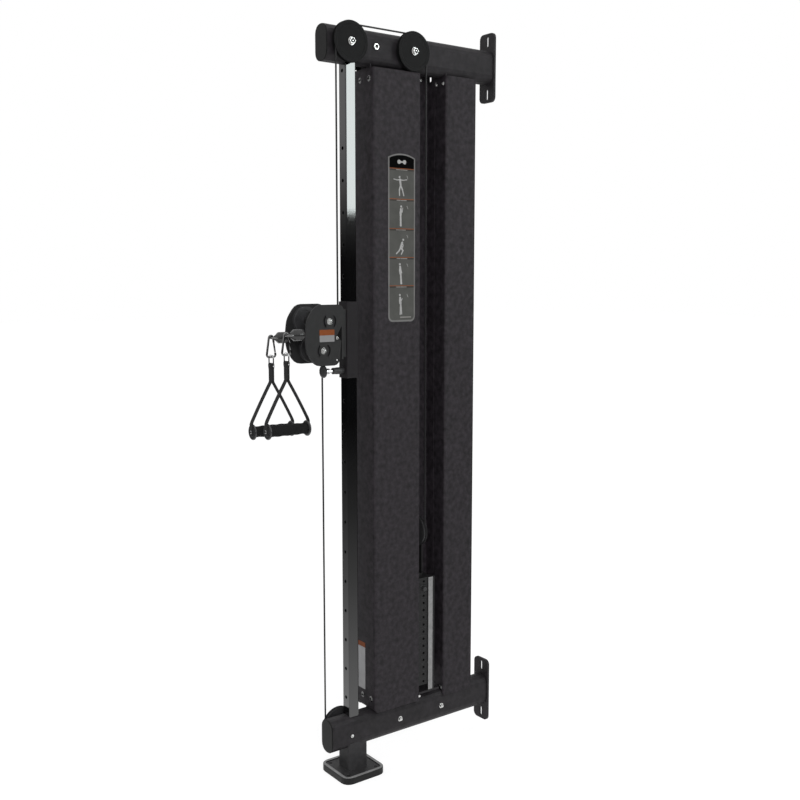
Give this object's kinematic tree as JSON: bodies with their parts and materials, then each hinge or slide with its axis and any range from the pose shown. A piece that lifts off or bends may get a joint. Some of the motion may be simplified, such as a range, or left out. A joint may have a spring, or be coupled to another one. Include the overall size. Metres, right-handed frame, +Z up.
{
  "type": "cable machine",
  "caption": "Slim wall-mounted cable machine: weight stack in tall shrouds, holed post with a sliding pulley head, two cable ends with stirrup handles.",
  "frame": {"origin": "centre of the foot pad's underside, on the floor", "axes": "+Z up along the post; +Y from the user towards the wall; +X to the near side, where the placard and the weight numbers are"},
  "size_m": [0.146, 0.8272, 2.2283],
  "materials": {
    "texture_paint": "fine textured dark grey powder coat",
    "gloss_paint": "high gloss black",
    "plate_paint": "satin black paint",
    "zinc_steel": "bright zinc",
    "chrome": "polished",
    "rubber": "matt black",
    "plastic": "satin black moulded",
    "label_grey": "light grey, bare",
    "cable_jacket": "black jacket over wire rope",
    "webbing": "black woven webbing",
    "grip_foam": "dense black foam"
  },
  "bodies": {
    "frame": {"foot_pad": "rubber", "foot_stand": "texture_paint", "bottom_beam": "texture_paint", "top_beam": "texture_paint", "bottom_end_cap": "plastic", "top_end_cap": "plastic", "front_post": "gloss_paint", "front_shroud": "texture_paint", "rear_shroud": "texture_paint", "far_side_cover": "texture_paint", "front_guide_rod": "chrome", "rear_guide_rod": "chrome", "stack_cushion": "rubber", "resting_plates": "plate_paint", "label_rail": "label_grey", "top_front_axle": "zinc_steel", "top_rear_axle": "zinc_steel", "far_middle_axle": "zinc_steel", "bottom_front_axle": "zinc_steel", "cable_near_top": "cable_jacket", "cable_far_route": "cable_jacket", "cable_near_run": "cable_jacket", "cable_far_run": "cable_jacket", "cable_stack_fall": "cable_jacket"},
    "stack": {"selected_plate": "plate_paint", "top_plate_and_stem": "plate_paint", "stack_yoke": "zinc_steel"},
    "floating_pulley": {"stack_pulley": "plastic"},
    "pin": {"selector_pin": "plastic"},
    "carriage": {"carriage_sleeve": "texture_paint", "sleeve_liner": "plastic", "pulley_head": "texture_paint", "pop_pin_housing": "plastic", "pop_pin_spring": "chrome", "cable_near_tail": "cable_jacket", "cable_far_tail": "cable_jacket"},
    "locking_pin": {"pop_pin_plunger": "chrome"},
    "top_front_pulley_body": {"top_front_pulley": "plastic"},
    "top_rear_pulley_body": {"top_rear_pulley": "plastic"},
    "far_rear_pulley_body": {"far_rear_pulley": "plastic"},
    "far_middle_pulley_body": {"far_middle_pulley": "plastic"},
    "bottom_front_pulley_body": {"bottom_front_pulley": "plastic"},
    "near_upper_pulley_body": {"near_upper_pulley": "plastic"},
    "near_lower_pulley_body": {"near_lower_pulley": "plastic"},
    "far_upper_pulley_body": {"far_upper_pulley": "plastic"},
    "far_lower_pulley_body": {"far_lower_pulley": "plastic"},
    "near_end": {"near_stop": "plastic"},
    "near_clip": {"near_carabiner": "zinc_steel"},
    "near_clip_gate": {"near_gate": "chrome"},
    "near_clip_ring": {"near_ring": "zinc_steel"},
    "near_handle": {"near_strap": "webbing", "near_handle_core": "zinc_steel"},
    "near_roller": {"near_grip": "grip_foam"},
    "far_end": {"far_stop": "plastic"},
    "far_clip": {"far_carabiner": "zinc_steel"},
    "far_clip_gate": {"far_gate": "chrome"},
    "far_clip_ring": {"far_ring": "zinc_steel"},
    "far_handle": {"far_strap": "webbing", "far_handle_core": "zinc_steel"},
    "far_roller": {"far_grip": "grip_foam"}
  },
  "joints": [
    {"name": "stack_lift", "type": "slide", "parent": "frame", "child": "stack", "axis": [0, 0, 1], "range_m": [0, 1.2], "deforming": ["cable_stack_fall"]},
    {"name": "carriage_slide", "type": "slide", "parent": "frame", "child": "carriage", "axis": [0, 0, 1], "range_m": [-0.98296, 0.62552], "deforming": ["cable_near_run", "cable_far_run"]},
    {"name": "locking_pin_draw", "type": "slide", "parent": "carriage", "child": "locking_pin", "axis": [0, 1, 0], "range_m": [0, 0.012]},
    {"name": "selector_pin_draw", "type": "slide", "parent": "stack", "child": "pin", "axis": [1, 0, 0], "range_m": [0, 0.06]},
    {"name": "near_pull", "type": "slide", "parent": "carriage", "child": "near_end", "axis": [0, -1, 0], "range_m": [0, 1.2]},
    {"name": "far_pull", "type": "slide", "parent": "carriage", "child": "far_end", "axis": [0, -1, 0], "range_m": [0, 1.2]},
    {"name": "top_front_pulley_spin", "type": "hinge", "parent": "frame", "child": "top_front_pulley_body", "pos_m": [0.042, -0.024, 2.129], "axis": [1, 0, 0], "continuous": true},
    {"name": "top_rear_pulley_spin", "type": "hinge", "parent": "frame", "child": "top_rear_pulley_body", "pos_m": [0.042, 0.194, 2.129], "axis": [1, 0, 0], "continuous": true},
    {"name": "far_rear_pulley_spin", "type": "hinge", "parent": "frame", "child": "far_rear_pulley_body", "pos_m": [-0.042, 0.194, 2.129], "axis": [1, 0, 0], "continuous": true},
    {"name": "far_middle_pulley_spin", "type": "hinge", "parent": "frame", "child": "far_middle_pulley_body", "pos_m": [-0.042, 0.07, 2.129], "axis": [1, 0, 0], "continuous": true},
    {"name": "bottom_front_pulley_spin", "type": "hinge", "parent": "frame", "child": "bottom_front_pulley_body", "pos_m": [-0.042, -0.024, 0.1377], "axis": [1, 0, 0], "continuous": true},
    {"name": "near_upper_pulley_spin", "type": "hinge", "parent": "carriage", "child": "near_upper_pulley_body", "pos_m": [0.042, -0.106, 1.36596], "axis": [1, 0, 0], "continuous": true},
    {"name": "near_lower_pulley_spin", "type": "hinge", "parent": "carriage", "child": "near_lower_pulley_body", "pos_m": [0.042, -0.126, 1.28496], "axis": [1, 0, 0], "continuous": true},
    {"name": "far_upper_pulley_spin", "type": "hinge", "parent": "carriage", "child": "far_upper_pulley_body", "pos_m": [-0.042, -0.126, 1.36596], "axis": [1, 0, 0], "continuous": true},
    {"name": "far_lower_pulley_spin", "type": "hinge", "parent": "carriage", "child": "far_lower_pulley_body", "pos_m": [-0.042, -0.106, 1.28496], "axis": [1, 0, 0], "continuous": true},
    {"name": "floating_pulley_spin", "type": "hinge", "parent": "stack", "child": "floating_pulley", "pos_m": [0, 0.241, 0.7117], "axis": [0, 1, 0], "continuous": true},
    {"name": "near_clip_swing", "type": "hinge", "parent": "near_end", "child": "near_clip", "pos_m": [0.042, -0.238, 1.33096], "axis": [1, 0, 0], "range_deg": [-90, 10]},
    {"name": "near_gate_open", "type": "hinge", "parent": "near_clip", "child": "near_clip_gate", "pos_m": [0.042, -0.22554, 1.29243], "axis": [1, 0, 0], "range_deg": [0, 25], "stiffness_Nm_per_rad": 0.05, "springref_deg": -28.65},
    {"name": "near_ring_swing", "type": "hinge", "parent": "near_clip", "child": "near_clip_ring", "pos_m": [0.042, -0.238, 1.27796], "axis": [0, 1, 0], "range_deg": [-60, 4]},
    {"name": "near_handle_swing", "type": "hinge", "parent": "near_clip_ring", "child": "near_handle", "pos_m": [0.042, -0.238, 1.25196], "axis": [1, 0, 0], "range_deg": [-60, 10]},
    {"name": "near_grip_spin", "type": "hinge", "parent": "near_handle", "child": "near_roller", "pos_m": [0.042, -0.238, 1.07246], "axis": [0, 1, 0], "continuous": true},
    {"name": "far_clip_swing", "type": "hinge", "parent": "far_end", "child": "far_clip", "pos_m": [-0.042, -0.238, 1.31996], "axis": [1, 0, 0], "range_deg": [-90, 10]},
    {"name": "far_gate_open", "type": "hinge", "parent": "far_clip", "child": "far_clip_gate", "pos_m": [-0.042, -0.22554, 1.28143], "axis": [1, 0, 0], "range_deg": [0, 25], "stiffness_Nm_per_rad": 0.05, "springref_deg": -28.65},
    {"name": "far_ring_swing", "type": "hinge", "parent": "far_clip", "child": "far_clip_ring", "pos_m": [-0.042, -0.238, 1.26696], "axis": [0, 1, 0], "range_deg": [-4, 60]},
    {"name": "far_handle_swing", "type": "hinge", "parent": "far_clip_ring", "child": "far_handle", "pos_m": [-0.042, -0.238, 1.24096], "axis": [1, 0, 0], "range_deg": [-60, 10]},
    {"name": "far_grip_spin", "type": "hinge", "parent": "far_handle", "child": "far_roller", "pos_m": [-0.042, -0.238, 1.06146], "axis": [0, 1, 0], "continuous": true}
  ],
  "couplings": [
    {"joint": "near_pull", "follows": "stack_lift", "ratio": 1},
    {"joint": "far_pull", "follows": "stack_lift", "ratio": 1},
    {"joint": "top_front_pulley_spin", "follows": "stack_lift", "rad_per_m": 21.277},
    {"joint": "top_rear_pulley_spin", "follows": "stack_lift", "rad_per_m": 21.277},
    {"joint": "far_rear_pulley_spin", "follows": "stack_lift", "rad_per_m": 21.277},
    {"joint": "far_middle_pulley_spin", "follows": "stack_lift", "rad_per_m": 21.277},
    {"joint": "bottom_front_pulley_spin", "follows": "stack_lift", "rad_per_m": -21.277},
    {"joint": "near_upper_pulley_spin", "follows": "stack_lift", "rad_per_m": -28.571},
    {"joint": "far_lower_pulley_spin", "follows": "stack_lift", "rad_per_m": 28.571}
  ]
}
